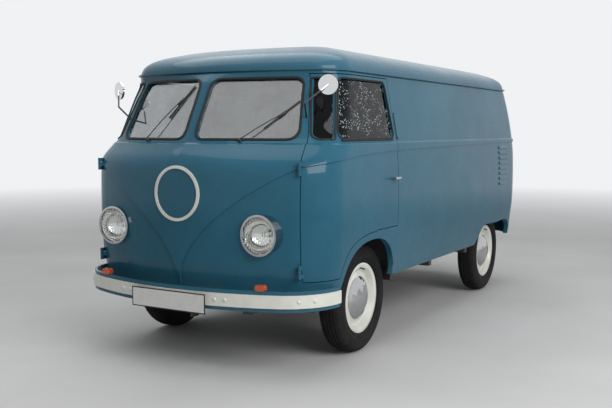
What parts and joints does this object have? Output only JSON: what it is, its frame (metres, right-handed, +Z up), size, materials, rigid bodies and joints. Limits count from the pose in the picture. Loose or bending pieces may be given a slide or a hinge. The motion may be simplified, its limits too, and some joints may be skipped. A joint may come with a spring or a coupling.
{
  "type": "panel van",
  "caption": "Closed panel van with its engine at the back, split windscreen, side cargo doors, hinged cab doors, tail lid, steering and turning wheels.",
  "frame": {"origin": "centre of the overall box in plan, on the ground under the tyres", "axes": "+Z up, the nose faces -Y, the van's left side is +X"},
  "size_m": [1.77, 4.1, 1.8964],
  "materials": {
    "body_paint": "semi-gloss",
    "ivory_paint": "semi-gloss",
    "plate_paint": "semi-gloss",
    "floor_paint": "matte",
    "frame_paint": "satin",
    "window_glass": "clear",
    "lamp_glass": "fluted",
    "amber_lens": "gloss",
    "red_lens": "gloss",
    "cast_casing": "cast",
    "exhaust_steel": "dull",
    "bright_trim": "polished",
    "black_metal": "satin",
    "dark_plastic": "satin",
    "seat_cloth": "woven",
    "tyre_rubber": "matte"
  },
  "bodies": {
    "body": {"nose_panel": "body_paint", "roof_panel": "body_paint", "side_panel_left": "body_paint", "side_panel_right": "body_paint", "tail_panel": "body_paint", "fixed_glass": "window_glass", "cab_floor": "floor_paint", "load_floor": "floor_paint", "bulkhead": "floor_paint", "chassis_frame": "frame_paint", "front_axle": "frame_paint", "rear_axle": "cast_casing", "engine": "cast_casing", "silencer": "exhaust_steel", "front_bumper": "body_paint", "seat_base": "frame_paint", "seat_cushions": "seat_cloth", "steering_column": "frame_paint", "dashboard": "body_paint", "headlamp_rims": "bright_trim", "headlamp_lenses": "lamp_glass", "marker_lamps": "amber_lens", "tail_lamps": "red_lens", "mirrors": "bright_trim", "wipers": "black_metal", "towing_eyes": "frame_paint", "bumper_band": "ivory_paint", "number_plate": "plate_paint", "nose_ring": "ivory_paint"},
    "left_door": {"door_left": "body_paint", "door_glass_left": "window_glass", "door_handle_left": "bright_trim"},
    "right_door": {"door_right": "body_paint", "door_glass_right": "window_glass", "door_handle_right": "bright_trim"},
    "front_cargo_door": {"cargo_door_front": "body_paint", "cargo_handle": "bright_trim"},
    "rear_cargo_door": {"cargo_door_rear": "body_paint"},
    "rear_lid": {"engine_lid": "body_paint", "lid_handle": "bright_trim"},
    "steering": {"steering_wheel": "dark_plastic"},
    "left_knuckle": {"knuckle_left": "frame_paint"},
    "right_knuckle": {"knuckle_right": "frame_paint"},
    "wheel_front_left": {"wheel_front_left": "ivory_paint", "tyre_front_left": "tyre_rubber", "hubcap_front_left": "bright_trim"},
    "wheel_front_right": {"wheel_front_right": "ivory_paint", "tyre_front_right": "tyre_rubber", "hubcap_front_right": "bright_trim"},
    "wheel_rear_left": {"wheel_rear_left": "ivory_paint", "tyre_rear_left": "tyre_rubber", "hubcap_rear_left": "bright_trim"},
    "wheel_rear_right": {"wheel_rear_right": "ivory_paint", "tyre_rear_right": "tyre_rubber", "hubcap_rear_right": "bright_trim"}
  },
  "joints": [
    {"name": "left_door_hinge", "type": "hinge", "parent": "body", "child": "left_door", "pos_m": [0.71328, -1.80565, 0.88], "axis": [0, 0, -1], "range_deg": [0, 70]},
    {"name": "right_door_hinge", "type": "hinge", "parent": "body", "child": "right_door", "pos_m": [-0.71328, -1.80565, 0.88], "axis": [0, 0, 1], "range_deg": [0, 70]},
    {"name": "front_cargo_hinge", "type": "hinge", "parent": "body", "child": "front_cargo_door", "pos_m": [-0.864, -0.56, 0.88], "axis": [0, 0, 1], "range_deg": [0, 105]},
    {"name": "rear_cargo_hinge", "type": "hinge", "parent": "body", "child": "rear_cargo_door", "pos_m": [-0.864, 0.64, 0.88], "axis": [0, 0, -1], "range_deg": [0, 105]},
    {"name": "rear_lid_hinge", "type": "hinge", "parent": "body", "child": "rear_lid", "pos_m": [0, 2.04, 1.1525], "axis": [1, 0, 0], "range_deg": [0, 75]},
    {"name": "left_steer", "type": "hinge", "parent": "body", "child": "left_knuckle", "pos_m": [0.61, -1.1, 0.335], "axis": [0, 0, 1], "range_deg": [-28, 28]},
    {"name": "right_steer", "type": "hinge", "parent": "body", "child": "right_knuckle", "pos_m": [-0.61, -1.1, 0.335], "axis": [0, 0, 1], "range_deg": [-28, 28]},
    {"name": "steering_turn", "type": "hinge", "parent": "body", "child": "steering", "pos_m": [0.34, -1.7, 0.4703], "axis": [0, 0.4304, 0.9027], "range_deg": [-395, 395]},
    {"name": "front_left_spin", "type": "hinge", "parent": "left_knuckle", "child": "wheel_front_left", "pos_m": [0.685, -1.1, 0.335], "axis": [1, 0, 0], "continuous": true},
    {"name": "front_right_spin", "type": "hinge", "parent": "right_knuckle", "child": "wheel_front_right", "pos_m": [-0.685, -1.1, 0.335], "axis": [1, 0, 0], "continuous": true},
    {"name": "rear_left_spin", "type": "hinge", "parent": "body", "child": "wheel_rear_left", "pos_m": [0.685, 1.3, 0.335], "axis": [1, 0, 0], "continuous": true},
    {"name": "rear_right_spin", "type": "hinge", "parent": "body", "child": "wheel_rear_right", "pos_m": [-0.685, 1.3, 0.335], "axis": [1, 0, 0], "continuous": true}
  ],
  "couplings": [
    {"joint": "right_steer", "follows": "left_steer", "ratio": 1},
    {"joint": "steering_turn", "follows": "left_steer", "ratio": 14}
  ]
}
